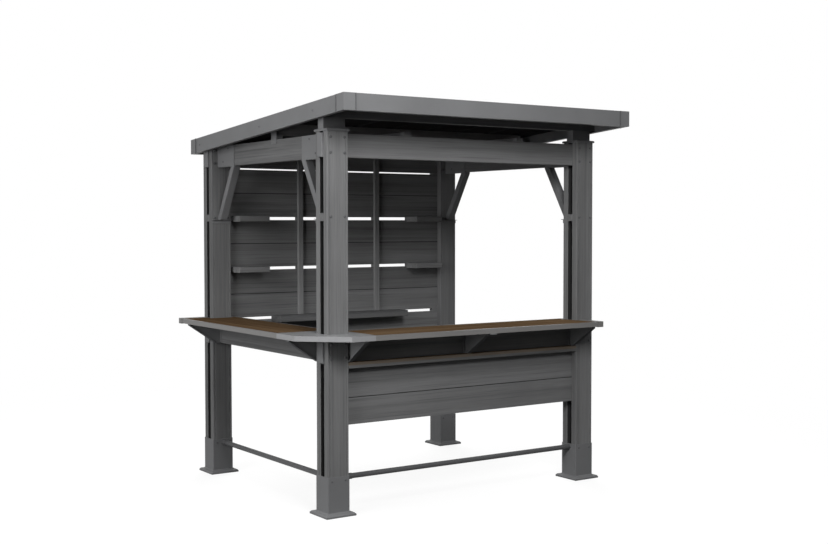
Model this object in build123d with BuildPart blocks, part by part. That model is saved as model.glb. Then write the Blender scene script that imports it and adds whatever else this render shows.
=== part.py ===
from build123d import *
from math import atan2, cos
import os

# Garden bar gazebo: a four-post timber frame with a single-slope metal roof, bar counters along
# the front and the left side, a slatted wall with shelves at the back and an open right side.
# Millimetres. X runs along the front, Y from front to back, Z up from the ground.
# The origin is the middle of the whole footprint, at ground level.

os.makedirs("parts", exist_ok=True)

# Posts: each is two upright planks with a gap between them
post_span_x = 1908.0
post_span_y = 1554.0
plank_width = 140.0
plank_thick = 47.0
post_gap = 40.0
plank_round = 4.0
plank_groove = 4.0
plank_groove_inset = 15.0
post_top = 2246.0

# Steel boots under the posts
boot_wall = 3.0
boot_height = 234.0
boot_plate_x = 200.0
boot_plate_y = 204.0
boot_plate_thick = 18.0
boot_plate_bevel = 8.0
boot_collar = 7.0

# Beams and rails: what runs in the post gaps is as thick as the gap
beam_height = 140.0
beam_drop = 10.0
beam_round = 3.0
end_cap_width = 58.0
end_cap_thick = 14.0
end_cap_bevel = 3.0
shoe_wall = 4.0
shoe_length = 247.0

# Caps on the posts
cap_overhang = 7.0
cap_thick = 14.0
cap_bevel = 4.0
stub_x = 148.0
stub_y = 62.0
stub_wall = 4.0
spacer_height = 46.0
spacer_drop = 13.0

# Knee braces on the two sides
brace_width = 48.0
brace_depth = 42.0
brace_wall = 4.0
brace_reach = 227.0
brace_drop = 357.0
collar_height = 26.0
collar_depth = 24.0
collar_wall = 4.0

# Roof: it falls by roof_fall from its front edge to its back edge
roof_fall = 152.0
roof_front = 347.0
roof_back = 136.0
roof_side = 127.0
fascia_depth = 98.0
fascia_sheet = 3.0
fascia_top_lip = 22.0
fascia_bottom_lip = 30.0
corner_cap_leg = 78.0
corner_cap_sheet = 2.0
deck_drop = 25.0
deck_sheet = 3.0
rib_count = 8
rib_height = 17.0
rib_base = 60.0
rib_crest = 30.0
header_thick = 50.0
header_height = 61.0
joist_width = 50.0
joist_height = 26.0
joist_place = 435.0
purlin_thick = 40.0
purlin_place = -103.0
back_purlin_height = 35.0
strap_width = 70.0
strap_sheet = 4.0
strap_drop = 26.0

# Back wall: panels of two boards, with a see-through slot under each
slot_height = 21.0
top_slot_height = 10.0
board_entry = 45.0
seam_depth = 3.0
seam_width = 6.0
slot_end_block = 42.0
slot_middle_block = 28.0
slot_shelf_inset = 10.0
batten_width = 40.0
batten_depth = 24.0
batten_place = 322.0
batten_top_margin = 20.0

# Shelves on the back wall
shelf_depth = 140.0
shelf_thick = 38.0
shelf_drop = 3.0
low_shelf_thick = 43.0
small_shelf_width = 232.0
small_shelf_gap = 36.0
low_shelf_width = 1072.0
shelf_shift = 15.0
shelf_round = 4.0

# Bar counters
counter_height = 1068.0
counter_thick = 31.0
counter_reach = 245.0
counter_inner_reach = 46.0
counter_rim = 12.0
counter_end_rim = 50.0
trim_width = 42.0
trim_sheet = 3.0
counter_base = 14.0
corner_reach_x = 64.0
corner_reach_y = 128.0
corner_chamfer = 240.0
counter_end_short_x = 87.0
counter_end_short_y = 24.0
post_notch_gap = 1.0
gusset_sheet = 4.0
gusset_flange = 30.0
gusset_drop = 138.0
gusset_reach = 232.0
gusset_foot = 40.0
gusset_tip = 10.0
joint_plate_width = 50.0
joint_plate_depth = 24.0
joint_plate_thick = 7.0
joint_plate_place = 35.0

# Front panel below the rail, with the ledge that caps it
front_panel_height = 337.0
front_panel_seam = 160.0
ledge_thick = 36.0
ledge_depth = 267.0
ledge_rim = 10.0
ledge_board_thick = 14.0

# Foot rails
foot_rail_diameter = 32.0
foot_rail_drop = 20.0

# Worked out from the sizes above
post_depth = 2 * plank_thick + post_gap
plank_place = (post_gap + plank_thick) / 2
half_x, half_y = post_span_x / 2, post_span_y / 2
reach_left = half_x + post_gap / 2 + counter_reach + trim_sheet
reach_right = half_x + roof_side + corner_cap_sheet
reach_front = half_y + roof_front + corner_cap_sheet
reach_back = half_y + roof_back + corner_cap_sheet
grid_x = (reach_left - reach_right) / 2
grid_y = (reach_front - reach_back) / 2
left, right = grid_x - half_x, grid_x + half_x
front, back = grid_y - half_y, grid_y + half_y
post_places = {
    "front_left": (left, front),
    "front_right": (right, front),
    "back_left": (left, back),
    "back_right": (right, back),
}
inner_left, inner_right = left + plank_width / 2, right - plank_width / 2
inner_front, inner_back = front + post_depth / 2, back - post_depth / 2
rail_top = counter_height - counter_thick
rail_bottom = rail_top - beam_height
beam_top = post_top - beam_drop
beam_bottom = beam_top - beam_height
cap_top = post_top + cap_thick
brace_top = beam_bottom - shoe_wall
brace_foot = beam_bottom - brace_drop

# The roof falls evenly to the back edge, and rests on the back purlin. Its heights are those of
# the fascia's top edge.
roof_x0, roof_x1 = left - roof_side, right + roof_side
roof_y0, roof_y1 = front - roof_front, back + roof_back
fall = roof_fall / (roof_y1 - roof_y0)
roof_high = beam_top + back_purlin_height + deck_drop + fall * (back - roof_y0)
roof_angle = atan2(fall, 1)
down_slope = Vector(0, 1, -fall).normalized()


def roof_z(y):
    """Height of the fascia's top edge at y."""
    return roof_high - fall * (y - roof_y0)


def deck_under(y):
    """Height of the flat underside of the roof deck at y."""
    return roof_z(y) - deck_drop


def roof_plane(drop):
    """The roof's own plane, lowered by drop, with its normal pointing up."""
    return Plane(origin=(grid_x, roof_y0, roof_high - drop), z_dir=(0, fall, 1))


header_bottom = deck_under(front) - header_height


# Boots: a bevelled base plate, a low collar and a sleeve that the planks stand in
sleeve_size = (plank_width + 2 * boot_wall, post_depth + 2 * boot_wall)
collar_size = (sleeve_size[0] + 2 * boot_collar, sleeve_size[1] + 2 * boot_collar)
with BuildPart() as boots:
    with BuildSketch():
        with Locations(*post_places.values()):
            Rectangle(boot_plate_x, boot_plate_y)
    extrude(amount=boot_plate_thick)
    chamfer(boots.faces().group_by(Axis.Z)[-1].edges(), length=boot_plate_bevel)
    with BuildSketch(Plane.XY.offset(boot_plate_thick)):
        with Locations(*post_places.values()):
            Rectangle(*collar_size)
    extrude(amount=boot_collar)
    chamfer(boots.faces().group_by(Axis.Z)[-1].edges(), length=boot_collar * 0.95)
    with BuildSketch(Plane.XY.offset(boot_plate_thick)) as sleeves:
        with Locations(*post_places.values()):
            Rectangle(*sleeve_size)
        fillet(sleeves.vertices(), boot_wall)
    extrude(amount=boot_height - boot_plate_thick)
    with BuildSketch(Plane.XY.offset(boot_plate_thick)):
        with Locations(*post_places.values()):
            Rectangle(plank_width, post_depth)
    extrude(amount=boot_height, mode=Mode.SUBTRACT)
boots.part.label = "post_boots"
export_step(boots.part, "parts/post_boots.step")

# Posts: two planks with eased edges and a fine groove along both edges of each outer face
for place, (x, y) in post_places.items():
    with BuildPart() as post:
        with BuildSketch(Plane.XY.offset(boot_plate_thick)) as section:
            with Locations((x, y - plank_place), (x, y + plank_place)):
                Rectangle(plank_width, plank_thick)
            fillet(section.vertices(), plank_round)
            with Locations((x, y)):
                with GridLocations(plank_width - 2 * plank_groove_inset, post_depth, 2, 2):
                    Rectangle(plank_groove, plank_groove, rotation=45, mode=Mode.SUBTRACT)
        extrude(amount=post_top - boot_plate_thick)
    post.part.label = f"post_{place}"
    export_step(post.part, f"parts/post_{place}.step")

# Blocks that hold the two planks of each post apart, level with the feet of the braces
with BuildPart() as spacers:
    with BuildSketch(Plane.XY.offset(brace_foot - spacer_drop)) as section:
        with Locations((left, front), (right, front)):
            Rectangle(plank_width, post_gap)
        with Locations((left - board_entry / 2, back), (right + board_entry / 2, back)):
            Rectangle(plank_width - board_entry, post_gap)
        fillet(section.vertices(), plank_round)
    extrude(amount=spacer_height)
spacers.part.label = "post_spacer_blocks"
export_step(spacers.part, "parts/post_spacer_blocks.step")


# Beams and rails in the gaps of the front and back posts, flush with the posts' outer faces
across = plank_width + post_span_x
for name, y, bottom in (
    ("front_beam", front, beam_bottom),
    ("back_beam", back, beam_bottom),
    ("front_counter_rail", front, rail_bottom),
    ("back_rail", back, rail_bottom),
):
    with BuildPart() as beam:
        with BuildSketch(Plane.YZ.offset(grid_x - across / 2)) as section:
            with Locations((y, bottom + beam_height / 2)):
                Rectangle(post_gap, beam_height)
            fillet(section.vertices(), beam_round)
        extrude(amount=across)
    beam.part.label = name
    export_step(beam.part, f"parts/{name}.step")

# Beams and rail along the sides, between the inner faces of the posts
along = inner_back - inner_front
for name, places, bottom in (
    ("side_beams", (left, right), beam_bottom),
    ("left_counter_rail", (left,), rail_bottom),
):
    with BuildPart() as beam:
        with BuildSketch(Plane.XZ.offset(-inner_front)) as section:
            with Locations(*[(x, bottom + beam_height / 2) for x in places]):
                Rectangle(post_gap, beam_height)
            fillet(section.vertices(), beam_round)
        extrude(amount=-along)
    beam.part.label = name
    export_step(beam.part, f"parts/{name}.step")

# Steel caps over the ends of the beams and rails
with BuildPart() as end_caps:
    for x, direction in ((grid_x - across / 2, -1), (grid_x + across / 2, 1)):
        with BuildSketch(Plane.YZ.offset(x)):
            for y in (front, back):
                with Locations((y, beam_bottom + beam_height / 2), (y, rail_bottom + beam_height / 2)):
                    Rectangle(end_cap_width, beam_height)
        extrude(amount=direction * end_cap_thick)
    outer = end_caps.faces().filter_by(Axis.X).group_by(Axis.X)
    chamfer(outer[0].edges() + outer[-1].edges(), length=end_cap_bevel)
end_caps.part.label = "beam_end_caps"
export_step(end_caps.part, "parts/beam_end_caps.step")

# Shoes that wrap the ends of the side beams and stand against the posts
with BuildPart() as shoes:
    for start, length in ((inner_front, shoe_length), (inner_back, -shoe_length)):
        with BuildSketch(Plane.XZ.offset(-start)) as section:
            for x in (left, right):
                with Locations((x, beam_bottom + (beam_height - shoe_wall) / 2)):
                    Rectangle(post_gap + 2 * shoe_wall, beam_height + shoe_wall)
                with Locations((x, beam_bottom + beam_height / 2)):
                    Rectangle(post_gap, beam_height, mode=Mode.SUBTRACT)
        extrude(amount=-length)
shoes.part.label = "side_beam_shoes"
export_step(shoes.part, "parts/side_beam_shoes.step")

# Caps on the front posts, with the stubs that carry the roof's front header
cap_size = (plank_width + 2 * cap_overhang, post_depth + 2 * cap_overhang)
with BuildPart() as front_caps:
    with BuildSketch(Plane.XY.offset(post_top)):
        with Locations((left, front), (right, front)):
            Rectangle(*cap_size)
    extrude(amount=cap_thick)
    chamfer(front_caps.faces().group_by(Axis.Z)[-1].edges(), length=cap_bevel)
    with BuildSketch(Plane.XY.offset(cap_top)):
        with Locations((left, front), (right, front)):
            Rectangle(stub_x, stub_y)
            Rectangle(stub_x - 2 * stub_wall, stub_y - 2 * stub_wall, mode=Mode.SUBTRACT)
    extrude(amount=header_bottom - cap_top)
front_caps.part.label = "front_post_caps"
export_step(front_caps.part, "parts/front_post_caps.step")

# Caps on the back posts, with low blocks cut to the slope of the deck
with BuildPart() as back_caps:
    with BuildSketch(Plane.XY.offset(post_top)):
        with Locations((left, back), (right, back)):
            Rectangle(*cap_size)
    extrude(amount=cap_thick)
    chamfer(back_caps.faces().group_by(Axis.Z)[-1].edges(), length=cap_bevel)
    for x in (left, right):
        with BuildSketch(Plane.YZ.offset(x - stub_x / 2)):
            with BuildLine():
                low, high = back - stub_y / 2, back + stub_y / 2
                Polyline(
                    (low, cap_top),
                    (high, cap_top),
                    (high, deck_under(high)),
                    (low, deck_under(low)),
                    close=True,
                )
            make_face()
        extrude(amount=stub_x)
back_caps.part.label = "back_post_caps"
export_step(back_caps.part, "parts/back_post_caps.step")

# Knee braces: square tubes from the beam down to a foot on the post
with BuildPart() as braces:
    for post_y, face, direction in ((front, inner_front, 1), (back, inner_back, -1)):
        for x in (left, right):
            top = Vector(x, face + direction * brace_reach, brace_top)
            foot = Vector(x, face + direction * brace_depth / 3, brace_foot)
            run = top - foot
            with BuildSketch(Plane(origin=foot - run, x_dir=(1, 0, 0), z_dir=run)) as section:
                Rectangle(brace_width, brace_depth)
                Rectangle(brace_width - 2 * brace_wall, brace_depth - 2 * brace_wall, mode=Mode.SUBTRACT)
            extrude(amount=3 * run.length)
    split(bisect_by=Plane.XY.offset(brace_top), keep=Keep.BOTTOM)
    split(bisect_by=Plane.XY.offset(brace_foot), keep=Keep.TOP)
    split(bisect_by=Plane.XZ.offset(-inner_front), keep=Keep.BOTTOM)
    split(bisect_by=Plane.XZ.offset(-inner_back), keep=Keep.TOP)
braces.part.label = "knee_braces"
export_step(braces.part, "parts/knee_braces.step")

# Angle brackets on the posts that the feet of the braces stand on
with BuildPart() as feet:
    for x in (left, right):
        with BuildSketch(Plane.YZ.offset(x - plank_width / 2)):
            for face, direction in ((inner_front, 1), (inner_back, -1)):
                out = face + direction * collar_depth
                low = brace_foot - collar_height
                with BuildLine():
                    Polyline(
                        (face, brace_foot),
                        (out, brace_foot),
                        (out, brace_foot - collar_wall),
                        (face + direction * collar_wall, brace_foot - collar_wall),
                        (face + direction * collar_wall, low),
                        (face, low),
                        close=True,
                    )
                make_face()
        extrude(amount=plank_width)
feet.part.label = "brace_brackets"
export_step(feet.part, "parts/brace_brackets.step")


def channel(edge_y, inward, top_lip, bottom_lip):
    """Outline of a C-shaped fascia in the YZ plane, its web at edge_y and its lips running inward."""
    sheet = inward * fascia_sheet
    tips = (edge_y + inward * top_lip, edge_y + inward * bottom_lip)
    return Polyline(
        (edge_y, roof_z(edge_y)),
        (tips[0], roof_z(tips[0])),
        (tips[0], roof_z(tips[0]) - fascia_sheet),
        (edge_y + sheet, roof_z(edge_y + sheet) - fascia_sheet),
        (edge_y + sheet, roof_z(edge_y + sheet) - fascia_depth + fascia_sheet),
        (tips[1], roof_z(tips[1]) - fascia_depth + fascia_sheet),
        (tips[1], roof_z(tips[1]) - fascia_depth),
        (edge_y, roof_z(edge_y) - fascia_depth),
        close=True,
    )


def mitre(sx, sy):
    """Upright plane through a roof corner at 45 degrees, facing the front or back fascia."""
    corner = (roof_x0 if sx < 0 else roof_x1, roof_y0 if sy < 0 else roof_y1, 0)
    return Plane(origin=corner, z_dir=(-sx, sy, 0))


# Front and back fascias: C-shaped sheet, mitred at the corners
for name, edge_y, sy in (("front_fascia", roof_y0, -1), ("back_fascia", roof_y1, 1)):
    with BuildPart() as fascia:
        with BuildSketch(Plane.YZ.offset(roof_x0)):
            with BuildLine():
                channel(edge_y, -sy, fascia_top_lip, fascia_bottom_lip)
            make_face()
        extrude(amount=roof_x1 - roof_x0)
        split(bisect_by=mitre(-1, sy), keep=Keep.TOP)
        split(bisect_by=mitre(1, sy), keep=Keep.TOP)
    fascia.part.label = name
    export_step(fascia.part, f"parts/{name}.step")

# Side fascias: the same channel, running down the slope
slope_length = (roof_y1 - roof_y0) / cos(roof_angle)
for name, edge_x, sx in (("left_fascia", roof_x0, -1), ("right_fascia", roof_x1, 1)):
    with BuildPart() as fascia:
        with BuildSketch(Plane.XZ.offset(-roof_y0)):
            with BuildLine():
                web = edge_x - sx * fascia_sheet
                low = roof_high - fascia_depth
                Polyline(
                    (edge_x, roof_high),
                    (edge_x - sx * fascia_top_lip, roof_high),
                    (edge_x - sx * fascia_top_lip, roof_high - fascia_sheet),
                    (web, roof_high - fascia_sheet),
                    (web, low + fascia_sheet),
                    (edge_x - sx * fascia_bottom_lip, low + fascia_sheet),
                    (edge_x - sx * fascia_bottom_lip, low),
                    (edge_x, low),
                    close=True,
                )
            make_face()
        extrude(amount=slope_length, dir=down_slope)
        split(bisect_by=mitre(sx, -1), keep=Keep.BOTTOM)
        split(bisect_by=mitre(sx, 1), keep=Keep.BOTTOM)
    fascia.part.label = name
    export_step(fascia.part, f"parts/{name}.step")

# Corner caps: folded sheet over the mitres, cut to the slope at top and bottom
with BuildPart() as corner_caps:
    with BuildSketch(Plane.XY.offset(roof_z(roof_y1) - 2 * fascia_depth)):
        for x, sx in ((roof_x0, -1), (roof_x1, 1)):
            for y, sy in ((roof_y0, -1), (roof_y1, 1)):
                with BuildLine():
                    Polyline(
                        (x - sx * corner_cap_leg, y + sy * corner_cap_sheet),
                        (x + sx * corner_cap_sheet, y + sy * corner_cap_sheet),
                        (x + sx * corner_cap_sheet, y - sy * corner_cap_leg),
                        (x, y - sy * corner_cap_leg),
                        (x, y),
                        (x - sx * corner_cap_leg, y),
                        close=True,
                    )
                make_face()
    extrude(amount=roof_fall + 4 * fascia_depth)
    split(bisect_by=roof_plane(0), keep=Keep.BOTTOM)
    split(bisect_by=roof_plane(fascia_depth), keep=Keep.TOP)
corner_caps.part.label = "roof_corner_caps"
export_step(corner_caps.part, "parts/roof_corner_caps.step")

# Roof deck: one sheet with raised ribs that run down the slope
deck_x0, deck_x1 = roof_x0 + fascia_sheet, roof_x1 - fascia_sheet
deck_y0, deck_y1 = roof_y0 + fascia_sheet, roof_y1 - fascia_sheet
rib_pitch = (deck_x1 - deck_x0) / rib_count
deck_line = [(deck_x0, 0)]
for i in range(rib_count):
    middle = deck_x0 + (i + 0.5) * rib_pitch
    deck_line += [
        (middle - rib_base / 2, 0),
        (middle - rib_crest / 2, rib_height),
        (middle + rib_crest / 2, rib_height),
        (middle + rib_base / 2, 0),
    ]
deck_line.append((deck_x1, 0))
deck_level = deck_under(deck_y0)
with BuildPart() as deck:
    with BuildSketch(Plane.XZ.offset(-deck_y0)):
        with BuildLine():
            lower = [(x, deck_level + z) for x, z in deck_line]
            upper = [(x, deck_level + z + deck_sheet) for x, z in reversed(deck_line)]
            Polyline(*lower, *upper, close=True)
        make_face()
    extrude(amount=(deck_y1 - deck_y0) / cos(roof_angle), dir=down_slope)
deck.part.label = "roof_deck"
export_step(deck.part, "parts/roof_deck.step")


def sloped_bar(y0, y1, bottom):
    """Outline in the YZ plane of a bar with a level bottom and a top that follows the deck."""
    return Polyline((y0, bottom), (y1, bottom), (y1, deck_under(y1)), (y0, deck_under(y0)), close=True)


# Header on the front stubs
with BuildPart() as header:
    with BuildSketch(Plane.YZ.offset(deck_x0)):
        with BuildLine():
            sloped_bar(front - header_thick / 2, front + header_thick / 2, header_bottom)
        make_face()
    extrude(amount=deck_x1 - deck_x0)
header.part.label = "roof_front_header"
export_step(header.part, "parts/roof_front_header.step")

# Joists from the front beam to the back purlin
joist_end = back - purlin_thick / 2
with BuildPart() as joists:
    with BuildSketch(Plane.XZ.offset(-(front - post_gap / 2))) as section:
        with Locations(*[(x, beam_top) for x in (grid_x - joist_place, grid_x + joist_place)]):
            Rectangle(joist_width, joist_height, align=(Align.CENTER, Align.MIN))
        fillet(section.vertices(), beam_round)
    extrude(amount=-(joist_end - front + post_gap / 2))
joists.part.label = "roof_joists"
export_step(joists.part, "parts/roof_joists.step")

# Purlins: one over the joists, one on the back beam between the post caps
purlin_y = grid_y + purlin_place
side_face = post_gap / 2
with BuildPart() as purlins:
    with BuildSketch(Plane.YZ.offset(left - side_face)):
        with BuildLine():
            sloped_bar(purlin_y - purlin_thick / 2, purlin_y + purlin_thick / 2, beam_top + joist_height)
        make_face()
    extrude(amount=post_span_x + 2 * side_face)
    with BuildSketch(Plane.YZ.offset(left + cap_size[0] / 2)):
        with BuildLine():
            sloped_bar(joist_end, back + purlin_thick / 2, beam_top)
        make_face()
    extrude(amount=post_span_x - cap_size[0])
purlins.part.label = "roof_purlins"
export_step(purlins.part, "parts/roof_purlins.step")

# Straps that tie the ends of the middle purlin to the side beams, each with its packing block
with BuildPart() as straps:
    for x, direction in ((left, -1), (right, 1)):
        with BuildSketch(Plane.XZ.offset(-(purlin_y - strap_width / 2))):
            with BuildLine():
                face = x + direction * side_face
                out = face + direction * strap_sheet
                step = beam_top + joist_height
                Polyline(
                    (out, beam_top - strap_drop),
                    (out, deck_under(purlin_y + strap_width / 2)),
                    (face, deck_under(purlin_y + strap_width / 2)),
                    (face, step),
                    (x - direction * side_face, step),
                    (x - direction * side_face, beam_top),
                    (face, beam_top),
                    (face, beam_top - strap_drop),
                    close=True,
                )
            make_face()
        extrude(amount=-strap_width)
straps.part.label = "roof_straps"
export_step(straps.part, "parts/roof_straps.step")


def board_outline(y, bottom, height, seams):
    """Outline in the YZ plane of stacked boards that fill the post gap, with a V at each seam."""
    y0, y1 = y - post_gap / 2, y + post_gap / 2
    notch = seam_width / 2
    up, down = [(y0, bottom)], [(y1, bottom)]
    for z in seams:
        up += [(y0, z - notch), (y0 + seam_depth, z), (y0, z + notch)]
        down += [(y1, z - notch), (y1 - seam_depth, z), (y1, z + notch)]
    up.append((y0, bottom + height))
    down.append((y1, bottom + height))
    return Polyline(*up, *reversed(down), close=True)


# Back wall panels, counted from the top, let into the gaps of the back posts
board_x0 = inner_left - board_entry
board_run = inner_right + board_entry - board_x0
panel_height = (beam_bottom - top_slot_height - rail_top) / 3 - slot_height
panel_bottoms = [rail_top + slot_height + i * (panel_height + slot_height) for i in range(3)]
for name, bottom in zip(("wall_panel_low", "wall_panel_middle", "wall_panel_top"), panel_bottoms):
    with BuildPart() as panel:
        with BuildSketch(Plane.YZ.offset(board_x0)):
            with BuildLine():
                board_outline(back, bottom, panel_height, [bottom + panel_height / 2])
            make_face()
        extrude(amount=board_run)
    panel.part.label = name
    export_step(panel.part, f"parts/{name}.step")

# Blocks that keep the panels apart: at the ends of the slots, up to the ends of the small shelves,
# and behind the battens. Each slot is given with how far its end blocks reach out from the posts.
wall_face = back - post_gap / 2
batten_x = (grid_x - batten_place, grid_x + batten_place)
shelf_block = small_shelf_gap + small_shelf_width - slot_shelf_inset
slots = [
    (rail_top, slot_height, slot_end_block, slot_end_block),
    (panel_bottoms[0] + panel_height, slot_height, shelf_block - shelf_shift, shelf_block + shelf_shift),
    (panel_bottoms[1] + panel_height, slot_height, shelf_block - shelf_shift, shelf_block + shelf_shift),
    (panel_bottoms[2] + panel_height, top_slot_height, slot_end_block, slot_end_block),
]
with BuildPart() as blocks:
    with BuildSketch(Plane.XZ.offset(-wall_face)):
        for bottom, height, left_reach, right_reach in slots:
            with Locations((board_x0, bottom)):
                Rectangle(board_entry + left_reach, height, align=(Align.MIN, Align.MIN))
            with Locations((board_x0 + board_run, bottom)):
                Rectangle(board_entry + right_reach, height, align=(Align.MAX, Align.MIN))
        for bottom, height, _, _ in slots[:-1]:
            with Locations(*[(x, bottom) for x in batten_x]):
                Rectangle(slot_middle_block, height, align=(Align.CENTER, Align.MIN))
    extrude(amount=-post_gap)
blocks.part.label = "wall_slot_blocks"
export_step(blocks.part, "parts/wall_slot_blocks.step")

# Battens that hold the panels together, on the inside of the wall
low_shelf_bottom = rail_top + (slot_height - low_shelf_thick) / 2 - shelf_drop
batten_bottom = low_shelf_bottom + low_shelf_thick
with BuildPart() as battens:
    with BuildSketch(Plane.XY.offset(batten_bottom)) as section:
        with Locations(*[(x, wall_face) for x in batten_x]):
            Rectangle(batten_width, batten_depth, align=(Align.CENTER, Align.MAX))
        fillet(section.vertices(), plank_round)
    extrude(amount=beam_top - batten_top_margin - batten_bottom)
battens.part.label = "wall_battens"
export_step(battens.part, "parts/wall_battens.step")

# Shelves: small ones over the ends of the two upper slots, and a long one over the lowest. All sit
# a little left of the middle.
small_offset = plank_width / 2 + small_shelf_gap + small_shelf_width / 2
small_shelf_x = (left + small_offset - shelf_shift, right - small_offset - shelf_shift)
with BuildPart() as shelves:
    for bottom in panel_bottoms[:2]:
        slot_middle = bottom + panel_height + slot_height / 2
        with BuildSketch(Plane.XY.offset(slot_middle - shelf_thick / 2 - shelf_drop)):
            with Locations(*[(x, wall_face) for x in small_shelf_x]):
                Rectangle(small_shelf_width, shelf_depth, align=(Align.CENTER, Align.MAX))
        extrude(amount=shelf_thick)
    with BuildSketch(Plane.XY.offset(low_shelf_bottom)):
        with Locations((grid_x - shelf_shift, wall_face)):
            Rectangle(low_shelf_width, shelf_depth, align=(Align.CENTER, Align.MAX))
    extrude(amount=low_shelf_thick)
    fillet(shelves.faces().group_by(Axis.Y)[0].edges(), shelf_round)
shelves.part.label = "wall_shelves"
export_step(shelves.part, "parts/wall_shelves.step")

# Counters: outlines in plan, notched round the posts that they pass
counter_left = left - post_gap / 2 - counter_reach
counter_front = front - post_gap / 2 - counter_reach
counter_inside_x = inner_left + counter_inner_reach
counter_inside_y = inner_front + counter_inner_reach
joint_x = inner_left + corner_reach_x
joint_y = inner_front + corner_reach_y
end_x = right + plank_width / 2 - counter_end_short_x
end_y = back + post_depth / 2 - counter_end_short_y
notch_x = plank_width + 2 * post_notch_gap
notch_y = post_depth + 2 * post_notch_gap
counter_bottom = rail_top


def front_counter_outline():
    """The front counter in plan, open at its right end round the front right post."""
    notch = inner_right - post_notch_gap
    near, far = front - notch_y / 2, front + notch_y / 2
    return Polyline(
        (joint_x, counter_front),
        (end_x, counter_front),
        (end_x, near),
        (notch, near),
        (notch, far),
        (end_x, far),
        (end_x, counter_inside_y),
        (joint_x, counter_inside_y),
        close=True,
    )


def left_counter_outline():
    """The left counter in plan: it meets the back wall inside and runs past the back left post outside."""
    notch = inner_back - post_notch_gap
    near, far = left - notch_x / 2, left + notch_x / 2
    return Polyline(
        (counter_left, joint_y),
        (counter_inside_x, joint_y),
        (counter_inside_x, wall_face),
        (far, wall_face),
        (far, notch),
        (near, notch),
        (near, end_y),
        (counter_left, end_y),
        close=True,
    )


# Counter trays: a shallow pan with a rim, wider at its free end, and the boards that fill it
front_board_area = ((joint_x, counter_front), (end_x - counter_end_rim, counter_inside_y))
left_board_area = ((counter_left, joint_y), (counter_inside_x, end_y - counter_end_rim))
for name, outline, area in (
    ("front_counter", front_counter_outline, front_board_area),
    ("left_counter", left_counter_outline, left_board_area),
):
    (x0, y0), (x1, y1) = area
    with BuildSketch(Plane.XY.offset(counter_bottom + counter_base)) as board_shape:
        with BuildLine():
            outline()
        make_face()
        offset(amount=-counter_rim, kind=Kind.INTERSECTION, mode=Mode.REPLACE)
        with Locations(((x0 + x1) / 2, (y0 + y1) / 2)):
            Rectangle(x1 - x0, y1 - y0, mode=Mode.INTERSECT)
    with BuildPart() as tray:
        with BuildSketch(Plane.XY.offset(counter_bottom)):
            with BuildLine():
                outline()
            make_face()
        extrude(amount=counter_thick)
        extrude(board_shape.sketch, amount=counter_thick, mode=Mode.SUBTRACT)
    tray.part.label = f"{name}_tray"
    export_step(tray.part, f"parts/{name}_tray.step")

    with BuildPart() as boards:
        extrude(board_shape.sketch, amount=counter_thick - counter_base)
    boards.part.label = f"{name}_boards"
    export_step(boards.part, f"parts/{name}_boards.step")

# Folded trims that wrap the free ends of both trays, up to the posts
with BuildPart() as trims:
    for x0, x1, y0, y1 in (
        (end_x - trim_width, end_x, counter_front, front - notch_y / 2),
        (counter_left, left - plank_width / 2 - end_cap_thick, end_y - trim_width, end_y),
    ):
        shift_x, shift_y = (trim_sheet, 0) if x1 == end_x else (0, trim_sheet)
        with BuildSketch(Plane.XY.offset(counter_bottom - trim_sheet)) as wrap:
            with BuildLine():
                Polyline(
                    (x0 - shift_y, y0 - shift_x),
                    (x1 + shift_x, y0 - shift_x),
                    (x1 + shift_x, y1 + shift_y),
                    (x0 - shift_y, y1 + shift_y),
                    close=True,
                )
            make_face()
        extrude(amount=counter_thick + 2 * trim_sheet)
        with BuildSketch(Plane.XY.offset(counter_bottom)):
            with BuildLine():
                Polyline((x0, y0), (x1, y0), (x1, y1), (x0, y1), close=True)
            make_face()
        extrude(amount=counter_thick, mode=Mode.SUBTRACT)
trims.part.label = "counter_end_trims"
export_step(trims.part, "parts/counter_end_trims.step")

# Corner counter: a square with its outer corner cut off and a hole for the front left post
with BuildPart() as corner:
    with BuildSketch(Plane.XY.offset(counter_bottom)) as section:
        with BuildLine():
            Polyline(
                (counter_left, counter_front + corner_chamfer),
                (counter_left + corner_chamfer, counter_front),
                (joint_x, counter_front),
                (joint_x, joint_y),
                (counter_left, joint_y),
                close=True,
            )
        make_face()
        with Locations((left, front)):
            Rectangle(notch_x, notch_y, mode=Mode.SUBTRACT)
    extrude(amount=counter_thick)
corner.part.label = "corner_counter"
export_step(corner.part, "parts/corner_counter.step")


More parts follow.
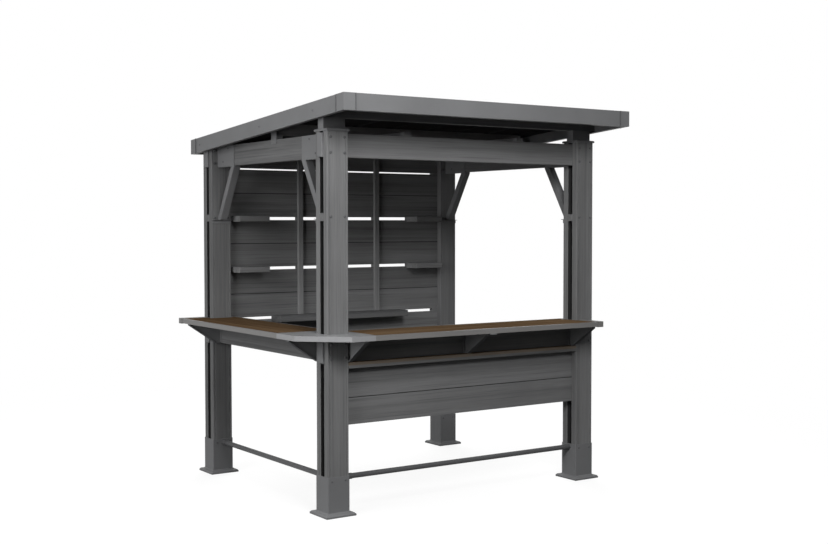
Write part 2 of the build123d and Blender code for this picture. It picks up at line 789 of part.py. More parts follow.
# Gussets: pressed steel triangles, each a web with a flange all round it, against the inner faces
# of the posts and in the middle of the front
rail_face_x = left - post_gap / 2
rail_face_y = front - post_gap / 2
gusset_planes = [
    (Plane.YZ.offset(x - gusset_flange / 2), rail_face_y)
    for x in (inner_left + gusset_flange / 2, grid_x, inner_right - gusset_flange / 2)
]
gusset_planes += [
    (Plane.XZ.offset(-(y + gusset_flange / 2)), rail_face_x)
    for y in (inner_front + gusset_flange / 2, inner_back - gusset_flange / 2)
]
pocket_depth = (gusset_flange - gusset_sheet) / 2
with BuildPart() as gussets:
    for plane, face in gusset_planes:
        with BuildSketch(plane) as outline:
            with BuildLine():
                Polyline(
                    (face, counter_bottom),
                    (face, counter_bottom - gusset_drop),
                    (face - gusset_foot, counter_bottom - gusset_drop),
                    (face - gusset_reach, counter_bottom - gusset_tip),
                    (face - gusset_reach, counter_bottom),
                    close=True,
                )
            make_face()
        extrude(amount=gusset_flange)
        with BuildSketch(plane) as pocket:
            add(outline.sketch_local)
            offset(amount=-gusset_sheet, kind=Kind.INTERSECTION, mode=Mode.REPLACE)
        extrude(amount=pocket_depth, mode=Mode.SUBTRACT)
        with BuildSketch(plane.offset(gusset_flange)):
            add(pocket.sketch_local)
        extrude(amount=-pocket_depth, mode=Mode.SUBTRACT)
    # Plate under the middle joint of the front counter
    with BuildSketch(Plane.XY.offset(counter_bottom - joint_plate_thick)):
        with Locations((grid_x + joint_plate_place, counter_front)):
            Rectangle(joint_plate_width, joint_plate_depth, align=(Align.CENTER, Align.MIN))
    extrude(amount=joint_plate_thick)
gussets.part.label = "counter_gussets"
export_step(gussets.part, "parts/counter_gussets.step")

# Front panel: boards in the gaps of the front posts, below the ledge
ledge_top = rail_bottom
ledge_bottom = ledge_top - ledge_thick
panel_bottom = ledge_bottom - front_panel_height
with BuildPart() as front_panel:
    with BuildSketch(Plane.YZ.offset(board_x0)):
        with BuildLine():
            board_outline(front, panel_bottom, front_panel_height, [panel_bottom + front_panel_seam])
        make_face()
    extrude(amount=board_run)
front_panel.part.label = "front_panel"
export_step(front_panel.part, "parts/front_panel.step")

# Ledge on the front panel: a tray that runs from the posts' outer face to the inside, with its boards
ledge_front = front - post_depth / 2
ledge_back = ledge_front + ledge_depth
ledge_width = inner_right - inner_left
with BuildPart() as ledge:
    with BuildSketch(Plane.XY.offset(ledge_bottom)):
        with Locations((grid_x, (ledge_front + ledge_back) / 2)):
            Rectangle(ledge_width, ledge_depth)
    extrude(amount=ledge_thick)
    fillet(ledge.faces().filter_by(Axis.Y).edges().filter_by(Axis.X), shelf_round)
    with BuildSketch(Plane.XY.offset(ledge_top)) as ledge_pocket:
        with Locations((grid_x, (ledge_front + ledge_back) / 2)):
            Rectangle(ledge_width - 2 * ledge_rim, ledge_depth - 2 * ledge_rim)
    extrude(amount=-ledge_board_thick, mode=Mode.SUBTRACT)
ledge.part.label = "front_ledge"
export_step(ledge.part, "parts/front_ledge.step")

with BuildPart() as ledge_boards:
    extrude(ledge_pocket.sketch, amount=-ledge_board_thick)
ledge_boards.part.label = "front_ledge_boards"
export_step(ledge_boards.part, "parts/front_ledge_boards.step")

# Foot rails between the boots
with BuildPart() as foot_rails:
    boot_half_x = plank_width / 2 + boot_wall
    boot_half_y = post_depth / 2 + boot_wall
    foot_rail_height = boot_height - foot_rail_drop
    with BuildSketch(Plane.YZ.offset(left + boot_half_x)):
        with Locations((front, foot_rail_height)):
            Circle(foot_rail_diameter / 2)
    extrude(amount=post_span_x - 2 * boot_half_x)
    with BuildSketch(Plane.XZ.offset(-(front + boot_half_y))):
        with Locations((left, foot_rail_height)):
            Circle(foot_rail_diameter / 2)
    extrude(amount=-(post_span_y - 2 * boot_half_y))
foot_rails.part.label = "foot_rails"
export_step(foot_rails.part, "parts/foot_rails.step")
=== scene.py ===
import math

import bmesh
import bpy
from mathutils import Matrix, Vector


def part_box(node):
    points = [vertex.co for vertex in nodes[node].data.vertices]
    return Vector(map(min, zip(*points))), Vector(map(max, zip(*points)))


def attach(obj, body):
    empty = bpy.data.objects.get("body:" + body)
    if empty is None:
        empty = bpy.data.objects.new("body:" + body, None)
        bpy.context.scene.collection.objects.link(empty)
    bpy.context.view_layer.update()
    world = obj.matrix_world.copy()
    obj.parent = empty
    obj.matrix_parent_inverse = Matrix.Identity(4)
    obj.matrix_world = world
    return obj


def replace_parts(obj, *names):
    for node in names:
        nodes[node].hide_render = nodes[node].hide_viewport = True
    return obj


# Looks of the garden bar gazebo. Metres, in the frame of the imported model.

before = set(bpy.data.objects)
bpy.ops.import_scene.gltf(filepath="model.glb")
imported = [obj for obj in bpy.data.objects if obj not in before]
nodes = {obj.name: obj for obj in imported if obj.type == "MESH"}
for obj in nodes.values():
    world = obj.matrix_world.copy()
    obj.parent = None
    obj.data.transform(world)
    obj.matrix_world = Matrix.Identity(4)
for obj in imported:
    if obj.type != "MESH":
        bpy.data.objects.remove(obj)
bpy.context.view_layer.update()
scene = bpy.context.scene
white = (1.0, 1.0, 1.0, 1.0)


def middle(node, axis):
    """Middle of a node's box along one axis."""
    low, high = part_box(node)
    return (low[axis] + high[axis]) / 2


def length(node, axis):
    """Length of a node's box along one axis."""
    low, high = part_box(node)
    return high[axis] - low[axis]


# Post centres and the middle between them
left, right = middle("post_front_left", 0), middle("post_front_right", 0)
front, back = middle("post_front_left", 1), middle("post_back_left", 1)
grid = Vector(((left + right) / 2, (front + back) / 2, 0.0))


# Node trees

class NodeTree:
    """A tree of shader nodes being put together: each call adds a node or a few."""

    def __init__(self, tree):
        self.tree = tree

    def add(self, kind, inputs=None, **settings):
        """One node. An input that is a socket is linked, and any other is set."""
        node = self.tree.nodes.new(kind)
        for key, value in settings.items():
            setattr(node, key, value)
        for key, value in (inputs or {}).items():
            if isinstance(value, bpy.types.NodeSocket):
                self.tree.links.new(value, node.inputs[key])
            else:
                node.inputs[key].default_value = value
        return node

    def math(self, operation, a, b=0.0):
        return self.add("ShaderNodeMath", {0: a, 1: b}, operation=operation).outputs[0]

    def seen(self):
        """1 for rays from the camera, from a reflection or through glass, and 0 for all others."""
        path = self.add("ShaderNodeLightPath")
        sharp = self.math("MAXIMUM", path.outputs["Is Glossy Ray"], path.outputs["Is Transmission Ray"])
        return self.math("MAXIMUM", path.outputs["Is Camera Ray"], sharp)

    def blend(self, share, first, second):
        """Mix of two shaders."""
        return self.add("ShaderNodeMixShader", {0: share, 1: first, 2: second}).outputs[0]


class Shader(NodeTree):
    """A material being put together on its own Principled shader."""

    def __init__(self, name, roughness, specular):
        self.material = bpy.data.materials.new(name)
        self.material.use_nodes = True
        super().__init__(self.material.node_tree)
        self.surface = self.tree.nodes["Principled BSDF"]
        self.surface.inputs["Roughness"].default_value = roughness
        self.surface.inputs["Specular IOR Level"].default_value = specular

    def place(self):
        return self.add("ShaderNodeTexCoord").outputs["Object"]

    def noise(self, where, scale, detail, roughness=0.55):
        values = {"Vector": where, "Scale": scale, "Detail": detail, "Roughness": roughness}
        return self.add("ShaderNodeTexNoise", values).outputs["Fac"]

    def ramp(self, value, stops):
        """Shades between stops of (position, shade), where a shade is a grey or three colours."""
        node = self.add("ShaderNodeValToRGB", {"Fac": value})
        elements = node.color_ramp.elements
        while len(elements) < len(stops):
            elements.new(0.5)
        for element, (position, shade) in zip(elements, stops):
            element.position = position
            element.color = (*shade, 1.0) if isinstance(shade, tuple) else (shade, shade, shade, 1.0)
        return node.outputs["Color"]

    def mix(self, kind, amount, a, b):
        """Mix of two colours."""
        node = self.add("ShaderNodeMix", {0: amount, 6: a, 7: b}, data_type="RGBA", blend_type=kind)
        return node.outputs[2]

    def bump(self, height, distance, strength=0.5):
        node = self.add("ShaderNodeBump", {"Height": height, "Distance": distance, "Strength": strength})
        self.tree.links.new(node.outputs["Normal"], self.surface.inputs["Normal"])

    def color(self, socket):
        self.tree.links.new(socket, self.surface.inputs["Base Color"])

    def roughness(self, socket):
        self.tree.links.new(socket, self.surface.inputs["Roughness"])


# Timber

timber_roughness = 0.62
grain_depth = 0.0009
ring_count = 7.0
# Stops of (noise, shade) by which the tone is multiplied
line_shades = (0.30, 0.68), (0.44, 0.98), (0.75, 1.10)
fibre_shades = (0.25, 0.80), (0.75, 1.14)
cloud_shades = (0.3, 0.9), (0.7, 1.08)
board_shades = (0.0, 0.9), (1.0, 1.08)
seam_shades = (0.5, 0.25), (1.0, 1.0)
seam_width = 0.007
# Half the gap between a post's two planks, and a little more
gap_reach = 0.0205
# The share of the tone that is taken away in there, as a painted shade
painted_gap_shade = 0.8


def timber(name, along, dark, light, across=None, pitch=0.0, start=0.0, seam=0.0, specular=0.05, shaded_gaps=(),
           edge=None):
    """Stained timber with its grain along one axis.

    Boards laid side by side along `across` differ in tone, with a dark line `seam` wide between them.
    Faces that look into the gaps between two planks are darker: a painted shade. `edge` is a height and two
    shades:
    above that height, the timber has these shades.
    """
    shader = Shader(name, timber_roughness, specular)
    where = shader.place()
    parts = shader.add("ShaderNodeSeparateXYZ", {"Vector": where})
    seed = shader.add("ShaderNodeObjectInfo").outputs["Random"]
    if across:
        step = shader.math("DIVIDE", shader.math("SUBTRACT", parts.outputs[across], start), pitch)
        seed = shader.math("ADD", shader.math("FLOOR", step), seed)

    # Each board takes its own stretch of the grain
    board = shader.add("ShaderNodeTexWhiteNoise", {"W": seed}, noise_dimensions="1D").outputs["Value"]
    offsets = {axis: shader.math("MULTIPLY", board, 9.0 + 4.0 * i) for i, axis in enumerate("XYZ")}
    shift = shader.add("ShaderNodeCombineXYZ", offsets).outputs[0]

    def grain(along_scale, across_scale, detail, roughness=0.55):
        """Noise drawn out along the grain."""
        scale = tuple(along_scale if axis == along else across_scale for axis in "XYZ")
        stretched = shader.add("ShaderNodeMapping", {"Vector": where, "Location": shift, "Scale": scale})
        return shader.noise(stretched.outputs["Vector"], 1.0, detail, roughness)

    rings = grain(0.22, 9.0, 2.0, 0.45)
    lines = grain(0.8, 70.0, 4.0, 0.6)
    fibres = grain(5.0, 260.0, 3.0, 0.6)
    cloud = grain(1.6, 1.6, 3.0)

    bands = shader.math("PINGPONG", shader.math("MULTIPLY", rings, ring_count), 1.0)
    halfway = tuple((a + b) / 2 for a, b in zip(dark, light))
    tone = shader.ramp(bands, ((0.0, dark), (0.4, halfway), (1.0, light)))
    if edge:
        edge_height, edge_dark, edge_light = edge
        trim = shader.ramp(bands, ((0.0, edge_dark), (1.0, edge_light)))
        above = shader.math("GREATER_THAN", parts.outputs["Z"], edge_height)
        tone = shader.mix("MIX", above, tone, trim)
    for share, pattern, shades in ((0.85, lines, line_shades), (0.7, fibres, fibre_shades),
                                   (0.8, cloud, cloud_shades), (1.0, board, board_shades)):
        tone = shader.mix("MULTIPLY", share, tone, shader.ramp(pattern, shades))
    if seam:
        off = shader.math("MULTIPLY", shader.math("PINGPONG", step, 0.5), 2.0 * pitch / seam)
        tone = shader.mix("MULTIPLY", 1.0, tone, shader.ramp(off, seam_shades))
    # Painted shade: the faces in the gaps between a post's planks are darkened
    for gap in shaded_gaps:
        off = shader.math("ABSOLUTE", shader.math("SUBTRACT", parts.outputs["Y"], gap))
        inside = shader.math("LESS_THAN", off, gap_reach)
        shade = shader.math("SUBTRACT", 1.0, shader.math("MULTIPLY", inside, painted_gap_shade))
        tone = shader.mix("MULTIPLY", 1.0, tone, shade)
    shader.color(tone)
    shader.roughness(shader.ramp(fibres, ((0.2, timber_roughness + 0.12), (0.8, timber_roughness - 0.08))))
    height = shader.math("ADD", shader.math("MULTIPLY", fibres, 0.6), shader.math("MULTIPLY", lines, 0.4))
    shader.bump(height, grain_depth)
    return shader.material


def boards_of(node, across, count):
    """Start and pitch of the boards that fill a node from side to side."""
    axis = "XYZ".index(across)
    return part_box(node)[0][axis], length(node, axis) / count


grey = (0.150, 0.151, 0.152), (0.186, 0.187, 0.189)
pale_grey = (0.178, 0.179, 0.181), (0.215, 0.216, 0.218)
dark_grey = (0.095, 0.096, 0.098), (0.125, 0.126, 0.128)
brown = (0.100, 0.061, 0.033), (0.154, 0.102, 0.059)
brown_edge = (0.17, 0.14, 0.11), (0.22, 0.18, 0.14)

# Two boards to a wall panel. The lines between them fall on the panels' middles and in the open slots
wall_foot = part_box("wall_panel_low")[0][2]
wall_board = length("wall_panel_low", 2) / 2
wall_pitch = (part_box("wall_panel_middle")[0][2] - wall_foot) / 2
wall_start = wall_foot + wall_board - wall_pitch

# The front panel's upper board, and the brown upper edge of the ledge
panel_board = 0.177
panel_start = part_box("front_panel")[1][2] - panel_board
brown_height = 0.017
ledge_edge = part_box("front_ledge")[1][2] - brown_height

# A height between the long low shelf and the small shelves above it. Below it the shelves are darker: a
# painted shade
shelf_shade_height = 1.2

# Painted shade: the shelves take the darker greys below that height and the plain greys above it
shelf_timber = timber("grey_timber_shelves", "X", *dark_grey, edge=(shelf_shade_height, *grey))
batten_timber = timber("grey_timber_battens", "Z", *pale_grey)
# The posts carry a painted shade in the gaps between their planks
post_timber = timber("grey_timber_posts", "Z", *grey, shaded_gaps=(front, back))
across_timber = timber("grey_timber_across", "X", *grey)
along_timber = timber("grey_timber_along", "Y", *grey)
wall_timber = timber("grey_wall_boards", "X", *grey, "Z", wall_pitch, wall_start, seam_width)
panel_timber = timber("grey_panel_boards", "X", *grey, "Z", panel_board, panel_start, seam_width)
ledge_timber = timber("grey_ledge", "X", *grey, edge=(ledge_edge, *brown_edge))


# Steel

def coated_steel(name, shade, roughness=0.42, grain=0.00025, specular=0.25):
    """Sheet steel with a fine-grained coat, a little uneven in tone."""
    shader = Shader(name, roughness, specular)
    where = shader.place()
    cloud = shader.noise(where, 3.0, 4.0)
    speck = shader.noise(where, 900.0, 2.0)
    dark, light = (tuple(share * value for value in shade) for share in (0.92, 1.07))
    tone = shader.ramp(cloud, ((0.3, dark), (0.7, light)))
    tone = shader.mix("MULTIPLY", 0.5, tone, shader.ramp(speck, ((0.3, 0.9), (0.7, 1.1))))
    shader.color(tone)
    shader.roughness(shader.ramp(cloud, ((0.3, roughness - 0.04), (0.7, roughness + 0.07))))
    shader.bump(speck, grain)
    return shader.material


steel = coated_steel("grey_steel", (0.175, 0.177, 0.181), specular=0.06)
tray_steel = coated_steel("counter_steel", (0.165, 0.161, 0.157), 0.35, specular=0.3)
# Painted highlight: the corner piece has a lighter tone than the trays to brighten its chamfer; its gloss is
# a real reflection
corner_steel_painted_highlight = coated_steel("corner_counter_steel", (0.235, 0.237, 0.243), 0.3, specular=0.5)
# Painted shade: the roof sheet is nearly black to show the deep shade under the roof
roof_steel_painted_shade = coated_steel("roof_sheet", (0.045, 0.046, 0.048), 0.6, specular=0.0)
gusset_steel = coated_steel("gusset_steel", (0.185, 0.187, 0.191), 0.7, specular=0.0)
rail_steel = coated_steel("foot_rail_steel", (0.090, 0.091, 0.094), 0.4, specular=0.15)
fold_steel = coated_steel("cap_fold_steel", (0.105, 0.106, 0.109), 0.6, specular=0.0)
bolt_steel = coated_steel("bolt_steel", (0.080, 0.081, 0.084), 0.4, 0.0001, 0.3)


# Which node wears what

finish = {
    batten_timber: ["wall_battens"],
    post_timber: ["post_front_left", "post_front_right", "post_back_left", "post_back_right"],
    across_timber: ["post_spacer_blocks", "front_beam", "back_beam", "front_counter_rail", "back_rail",
                    "roof_front_header", "roof_purlins", "wall_slot_blocks"],
    shelf_timber: ["wall_shelves"],
    along_timber: ["side_beams", "left_counter_rail", "roof_joists"],
    wall_timber: ["wall_panel_low", "wall_panel_middle", "wall_panel_top"],
    panel_timber: ["front_panel"],
    ledge_timber: ["front_ledge"],
    roof_steel_painted_shade: ["roof_deck"],
    tray_steel: ["front_counter_tray", "left_counter_tray", "counter_end_trims"],
    corner_steel_painted_highlight: ["corner_counter"],
    rail_steel: ["foot_rails"],
    gusset_steel: ["counter_gussets"],
}
# Boards that are cut apart below: grain along, laid side by side across, how many
board_nodes = {
    "front_counter_boards": ("X", "Y", 4),
    "left_counter_boards": ("Y", "X", 4),
    "front_ledge_boards": ("X", "Y", 3),
}
painted = {name for names in finish.values() for name in names}
finish[steel] = [name for name in nodes if name not in painted and name not in board_nodes]
for material, names in finish.items():
    for name in names:
        mesh = nodes[name].data
        mesh.materials.clear()
        mesh.materials.append(material)


# How pieces are made

def piece(name, mesh, material):
    """Object made from a finished bmesh, which rides with the gazebo."""
    data = bpy.data.meshes.new(name)
    mesh.to_mesh(data)
    mesh.free()
    data.materials.append(material)
    made = bpy.data.objects.new(name, data)
    scene.collection.objects.link(made)
    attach(made, "root")
    return made


def soften(mesh, edges, soft):
    """Round off some edges of a mesh."""
    bmesh.ops.bevel(mesh, geom=edges, offset=soft, segments=2, profile=0.5, affect="EDGES",
                    clamp_overlap=True)


def head(mesh, where, facing, profile, sides):
    """A turned head that sits on a surface: rings of (radius, rise) about the direction it faces."""
    turned = Vector(facing).to_track_quat("Z", "Y").to_matrix()
    around = [2 * math.pi * i / sides for i in range(sides)]
    rings = []
    for radius, rise in profile:
        ring = [Vector((radius * math.cos(angle), radius * math.sin(angle), rise)) for angle in around]
        rings.append([mesh.verts.new(Vector(where) + turned @ point) for point in ring])
    for lower, upper in zip(rings, rings[1:]):
        for i in range(sides):
            j = (i + 1) % sides
            mesh.faces.new((lower[i], lower[j], upper[j], upper[i]))
    mesh.faces.new(rings[0][::-1])
    mesh.faces.new(rings[-1])


def strip(mesh, corner, opposite, soft):
    """A bar between two opposite corners, with softened edges."""
    corner, opposite = Vector(corner), Vector(opposite)
    size = (abs(b - a) for a, b in zip(corner, opposite))
    shape = Matrix.Translation((corner + opposite) / 2) @ Matrix.Diagonal((*size, 1.0))
    made = bmesh.ops.create_cube(mesh, size=1.0, matrix=shape)
    edges = dict.fromkeys(edge for point in made["verts"] for edge in point.link_edges)
    soften(mesh, list(edges), soft)


# Boards of the counters and the ledge

board_gap = 0.003
board_soft = 0.0015
same_point = 1e-6
flat_angle = 0.02
corner_angle = 0.5


def cut_off(mesh, axis, place, way):
    """Take away what lies past a place along one axis, and close the cut."""
    point, normal = Vector(), Vector()
    point[axis], normal[axis] = place, way
    everything = mesh.verts[:] + mesh.edges[:] + mesh.faces[:]
    cut = bmesh.ops.bisect_plane(mesh, geom=everything, plane_co=point, plane_no=normal, clear_outer=True)
    rim = [part for part in cut["geom_cut"] if isinstance(part, bmesh.types.BMEdge)]
    bmesh.ops.holes_fill(mesh, edges=rim, sides=0)


def split_boards(node, along, across, count):
    """The node's boards, cut apart with a gap between them and with softened edges."""
    axis = "XYZ".index(across)
    start, pitch = boards_of(node, across, count)
    every = bmesh.new()
    for i in range(count):
        board = bmesh.new()
        board.from_mesh(nodes[node].data)
        bmesh.ops.remove_doubles(board, verts=board.verts, dist=same_point)
        if i > 0:
            cut_off(board, axis, start + i * pitch + board_gap / 2, -1)
        if i < count - 1:
            cut_off(board, axis, start + (i + 1) * pitch - board_gap / 2, 1)
        bmesh.ops.dissolve_limit(board, angle_limit=flat_angle, verts=board.verts, edges=board.edges)
        soften(board, [part for part in board.edges if part.calc_face_angle(0.0) > corner_angle], board_soft)
        held = bpy.data.meshes.new(f"{node}_{i}")
        board.to_mesh(held)
        board.free()
        every.from_mesh(held)
        bpy.data.meshes.remove(held)
    stained = timber(f"brown_{node}", along, *brown, across, pitch, start, specular=0.0)
    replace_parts(piece(f"{node}_laid", every, stained), node)


for node, (along, across, count) in board_nodes.items():
    split_boards(node, along, across, count)


# Shapes of the fasteners, as rings of (radius, rise)

dome = ((0.0088, -0.0005), (0.0088, 0.0012), (0.0080, 0.0030), (0.0060, 0.0043), (0.0032, 0.0050),
        (0.0008, 0.0052))
small_dome = tuple((0.7 * radius, 0.7 * rise) for radius, rise in dome)
washer = ((0.0100, -0.0005), (0.0100, 0.0014), (0.0094, 0.0020), (0.0052, 0.0020))
hex_nut = ((0.0082, 0.0018), (0.0082, 0.0066), (0.0070, 0.0076), (0.0046, 0.0076), (0.0042, 0.0100),
           (0.0006, 0.0104))
roof_washer = ((0.0085, -0.0006), (0.0085, 0.0012), (0.0078, 0.0017), (0.0050, 0.0017))
roof_hex = ((0.0052, 0.0015), (0.0052, 0.0060), (0.0044, 0.0068))
bolt_sides, screw_sides, small_screw_sides, hex_sides, sleeve_sides = 20, 16, 12, 6, 32


# Carriage bolts through the posts. Inside, they end in nuts at the beams and in heads at the spacer blocks

post_half_x, post_half_y = length("post_front_left", 0) / 2, length("post_front_left", 1) / 2
beam_low, beam_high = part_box("front_beam")[0][2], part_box("front_beam")[1][2]
rail_low, rail_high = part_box("front_counter_rail")[0][2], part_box("front_counter_rail")[1][2]
block_bolt = 1.7505
bolt_offset = 0.047
rail_margin_low, rail_margin_high = 0.030, 0.026
beam_margin_low, beam_margin_high = 0.024, 0.026
bolt_heights = (rail_low + rail_margin_low, rail_high - rail_margin_high, block_bolt,
                beam_low + beam_margin_low, beam_high - beam_margin_high)
bolts = bmesh.new()
nuts = bmesh.new()
for x in (left - bolt_offset, left + bolt_offset, right - bolt_offset, right + bolt_offset):
    for y, out in ((front, -1), (back, 1)):
        for z in bolt_heights:
            inner = (x, y - out * post_half_y, z)
            head(bolts, (x, y + out * post_half_y, z), (0, out, 0), dome, bolt_sides)
            if z > block_bolt:
                head(nuts, inner, (0, -out, 0), washer, bolt_sides)
                head(nuts, inner, (0, -out, 0), hex_nut, hex_sides)
            elif z == block_bolt:
                head(bolts, inner, (0, -out, 0), dome, bolt_sides)
piece("post_bolts", bolts, bolt_steel)
piece("post_nuts", nuts, bolt_steel)


# Screws through the boots' sleeves

boot_wall = 0.003
boot_screw_offset = 0.045
boot_screw_height = 0.210
sleeve_half_x, sleeve_half_y = post_half_x + boot_wall, post_half_y + boot_wall
boot_screws = bmesh.new()
for x in (left, right):
    for y in (front, back):
        for offset in (-boot_screw_offset, boot_screw_offset):
            for out in (-1, 1):
                place = (x + offset, y + out * sleeve_half_y, boot_screw_height)
                head(boot_screws, place, (0, out, 0), small_dome, screw_sides)
piece("boot_screws", boot_screws, bolt_steel)


# Screws through the side beams' shoes, on both of their faces

shoe_half = 0.024
far_margin, near_margin = 0.022, 0.031
far_reach, far_height = 0.158, beam_high - far_margin
near_reach, near_height = 0.082, beam_low + near_margin
shoe_screws = bmesh.new()
for x in (left, right):
    for face in (-1, 1):
        for y, way in ((front + post_half_y, 1), (back - post_half_y, -1)):
            for reach, z in ((far_reach, far_height), (near_reach, near_height)):
                place = (x + face * shoe_half, y + way * reach, z)
                head(shoe_screws, place, (face, 0, 0), small_dome, screw_sides)
piece("shoe_screws", shoe_screws, bolt_steel)


# Screws that hold the side fascias to the header and the purlins

purlin_rows = (front, middle("roof_straps", 1), back)
fascia_half = length("back_fascia", 2) / 2


def slope_at(y):
    """Height of the middle of the side fascias above a place along the slope."""
    low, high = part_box("left_fascia")
    fall = (high[2] - low[2] - 2 * fascia_half) / (high[1] - low[1])
    return high[2] - fascia_half - fall * (y - low[1])


fascia_screws = bmesh.new()
for node, out, face in (("left_fascia", -1, 0), ("right_fascia", 1, 1)):
    for y in purlin_rows:
        place = (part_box(node)[face][0], y, slope_at(y))
        head(fascia_screws, place, (out, 0, 0), small_dome, screw_sides)
piece("fascia_screws", fascia_screws, bolt_steel)


# Sleeves on the ends of the foot rails

tube = length("foot_rails", 2) / 2
tube_height = middle("foot_rails", 2)
sleeve_play, sleeve_wall, sleeve_soft, sleeve_length = 0.0002, 0.0026, 0.0010, 0.0550
sleeve_in, sleeve_out = tube + sleeve_play, tube + sleeve_wall
sleeve = ((sleeve_in, 0.0), (sleeve_out, 0.0), (sleeve_out, sleeve_length - sleeve_soft),
          (sleeve_out - sleeve_soft, sleeve_length), (sleeve_in, sleeve_length))
rail_ends = (
    ((left, front + sleeve_half_y, tube_height), (0, 1, 0)),
    ((left, back - sleeve_half_y, tube_height), (0, -1, 0)),
    ((left + sleeve_half_x, front, tube_height), (1, 0, 0)),
    ((right - sleeve_half_x, front, tube_height), (-1, 0, 0)),
)
sleeves = bmesh.new()
for place, facing in rail_ends:
    head(sleeves, place, facing, sleeve, sleeve_sides)
piece("foot_rail_sleeves", sleeves, rail_steel)


# Folded edges of the roof's corner caps

caps_low, caps_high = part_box("roof_corner_caps")
cap_wide = 0.080
fold_half, fold_rise, fold_seat, fold_soft = 0.003, 0.003, 0.001, 0.001
folds = bmesh.new()
for x in (caps_low[0] + cap_wide, caps_high[0] - cap_wide):
    for y, out in ((caps_low[1], -1), (caps_high[1], 1)):
        z = slope_at(y)
        strip(folds, (x - fold_half, y - out * fold_seat, z - fascia_half),
              (x + fold_half, y + out * fold_rise, z + fascia_half), fold_soft)
for y in (caps_low[1] + cap_wide, caps_high[1] - cap_wide):
    for x, out in ((caps_low[0], -1), (caps_high[0], 1)):
        z = slope_at(y)
        strip(folds, (x - out * fold_seat, y - fold_half, z - fascia_half),
              (x + out * fold_rise, y + fold_half, z + fascia_half), fold_soft)
piece("corner_cap_folds", folds, fold_steel)


# Angle brackets that hold the joists to the front and back beams

joists_low, joists_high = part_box("roof_joists")
joist_half = 0.025
angle_leg, angle_rise, angle_half, angle_sheet, angle_soft = 0.022, 0.024, 0.016, 0.0025, 0.0006
angle_screw = 0.013
angles = bmesh.new()
for x in (joists_low[0] + joist_half, joists_high[0] - joist_half):
    for y in (front, back):
        for way in (-1, 1):
            bend = Vector((x + way * joist_half, y, beam_high))
            foot = bend - Vector((0.0, angle_half, 0.0))
            for long, tall in ((angle_leg, angle_sheet), (angle_sheet, angle_rise)):
                strip(angles, foot, bend + Vector((way * long, angle_half, tall)), angle_soft)
            screw = bend + Vector((way * angle_screw, 0.0, angle_sheet))
            head(angles, screw, (0, 0, 1), small_dome, small_screw_sides)
piece("joist_angles", angles, steel)


# Roof screws on the ribs of the deck, in rows over the header, the middle purlin and the back purlin

deck = nodes["roof_deck"]
deck_low, deck_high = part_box("roof_deck")
above_roof = 3.0
ray_step = 0.002
crest_band = 0.001
rib_apart = 0.005


def on_deck(x, y):
    """Where a plumb line meets the deck, or else the ground, and the way that surface faces."""
    hit, where, normal, _ = deck.ray_cast(Vector((x, y, above_roof)), Vector((0, 0, -1)))
    return (where, normal) if hit else (Vector((x, y, 0.0)), Vector((0, 0, 1)))


def rib_middles(y):
    """Middle of each rib's crest along one row."""
    steps = int((deck_high[0] - deck_low[0]) / ray_step)
    heights = [(on_deck(x, y)[0][2], x) for x in (deck_low[0] + ray_step * i for i in range(steps))]
    crest = max(heights)[0] - crest_band
    ribs = []
    for z, x in heights:
        if z <= crest:
            continue
        if ribs and x - ribs[-1][-1] < rib_apart:
            ribs[-1].append(x)
        else:
            ribs.append([x])
    return [(rib[0] + rib[-1]) / 2 for rib in ribs]


roof_screws = bmesh.new()
for y in purlin_rows:
    for x in rib_middles(y):
        where, normal = on_deck(x, y)
        head(roof_screws, where, normal, roof_washer, screw_sides)
        head(roof_screws, where, normal, roof_hex, hex_sides)
piece("roof_screws", roof_screws, bolt_steel)


# Floor: it glows for the camera so that it shows near white with a faint shadow, and fades to full white

floor_half = 30
fade_reach = 12.0
fade_start, fade_end = 0.16, 0.42
floor_mesh = bpy.data.meshes.new("studio_floor")
floor_corners = [(-floor_half, -floor_half, 0), (floor_half, -floor_half, 0), (floor_half, floor_half, 0),
                 (-floor_half, floor_half, 0)]
floor_mesh.from_pydata(floor_corners, [], [(0, 1, 2, 3)])
floor = bpy.data.objects.new("studio_floor", floor_mesh)
scene.collection.objects.link(floor)
floor_shader = Shader("studio_floor", 0.9, 0.1)
floor_shader.surface.inputs["Base Color"].default_value = (0.16, 0.16, 0.16, 1.0)
distance = floor_shader.add("ShaderNodeVectorMath", {0: floor_shader.place()}, operation="LENGTH")
reach = floor_shader.math("DIVIDE", distance.outputs["Value"], fade_reach)
far = floor_shader.ramp(reach, ((fade_start, 0.0), (fade_end, 1.0)))
full_glow = floor_shader.add("ShaderNodeEmission", {"Color": white, "Strength": 1.0}).outputs[0]
near_glow = floor_shader.add("ShaderNodeEmission", {"Color": white, "Strength": 0.86}).outputs[0]
near = floor_shader.add("ShaderNodeAddShader", {0: floor_shader.surface.outputs[0], 1: near_glow}).outputs[0]
dim = floor_shader.add("ShaderNodeBsdfDiffuse", {"Color": (0.03, 0.03, 0.03, 1.0)}).outputs[0]
floor_look = floor_shader.blend(floor_shader.seen(), dim, floor_shader.blend(far, near, full_glow))
floor_shader.tree.links.new(floor_look, floor_shader.tree.nodes["Material Output"].inputs["Surface"])
floor_mesh.materials.append(floor_shader.material)


# World: white behind the gazebo, and a weaker light on it that comes more from above

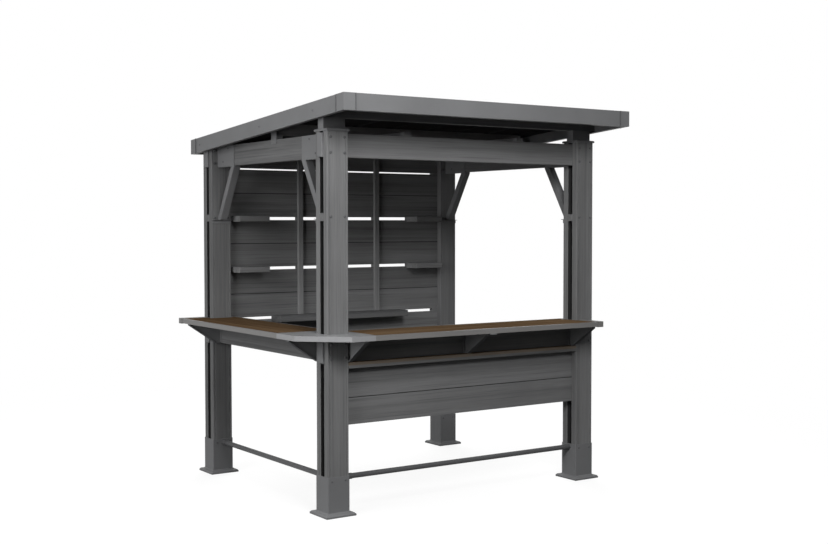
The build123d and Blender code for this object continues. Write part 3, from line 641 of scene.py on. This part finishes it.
world = bpy.data.worlds.new("studio")
scene.world = world
world.use_nodes = True
sky = NodeTree(world.node_tree)
backdrop = sky.tree.nodes["Background"]
backdrop.inputs["Color"].default_value = white
backdrop.inputs["Strength"].default_value = 1.0
direction = sky.add("ShaderNodeTexCoord").outputs["Generated"]
upward = sky.add("ShaderNodeSeparateXYZ", {0: direction}).outputs["Z"]
levels = {"Value": upward, "From Min": 0.0, "From Max": 1.0, "To Min": 0.04, "To Max": 0.52}
overhead = sky.add("ShaderNodeMapRange", levels).outputs["Result"]
ambient = sky.add("ShaderNodeBackground", {"Color": white, "Strength": overhead}).outputs[0]
sky_look = sky.blend(sky.seen(), ambient, backdrop.outputs[0])
sky.tree.links.new(sky_look, sky.tree.nodes["World Output"].inputs["Surface"])


# Lamps

lit_height = 1.2


def softbox(name, bearing, rise, distance, size, level):
    """Square lamp that looks at the front left corner from a bearing, measured from the front to the left.

    A face turned straight to it, at the corner, shows its own colour times the level.
    """
    target = Vector((left, front, lit_height))
    bearing, rise = math.radians(bearing), math.radians(rise)
    flat = math.cos(rise)
    toward = Vector((-math.sin(bearing) * flat, -math.cos(bearing) * flat, math.sin(rise)))
    light = bpy.data.lights.new(name, "AREA")
    light.size = size
    light.energy = level * (math.pi * distance) ** 2
    holder = bpy.data.objects.new(name, light)
    holder.location = target + distance * toward
    holder.rotation_euler = (-toward).to_track_quat("-Z", "Y").to_euler()
    scene.collection.objects.link(holder)


softbox("key_light", 8, 37, 4.4, 1.6, 0.79)
softbox("left_light", 80, 13, 4.8, 3.2, 0.80)
softbox("back_light", 215, 30, 6.5, 3.0, 0.45)


# Camera, fitted to the photograph: its place from the middle between the posts, and its angles in degrees

camera_place = Vector((-4.6111, -6.9992, 1.7102))
camera_yaw, camera_pitch, camera_roll = 34.2445, -2.2477, -0.0470
camera_data = bpy.data.cameras.new("photo_camera")
camera_data.sensor_width = 36.0
camera_data.lens = 53.62
camera = bpy.data.objects.new("photo_camera", camera_data)
yaw, pitch, roll = (math.radians(angle) for angle in (camera_yaw, camera_pitch, camera_roll))
aim = Vector((math.sin(yaw) * math.cos(pitch), math.cos(yaw) * math.cos(pitch), math.sin(pitch)))
level = Vector((math.cos(yaw), -math.sin(yaw), 0.0))
upright = level.cross(aim)
side = level * math.cos(roll) + upright * math.sin(roll)
top = upright * math.cos(roll) - level * math.sin(roll)
turn = Matrix((side, top, -aim)).transposed().to_4x4()
camera.matrix_world = Matrix.Translation(grid + camera_place) @ turn
scene.collection.objects.link(camera)
scene.camera = camera
scene.view_settings.view_transform = "Standard"
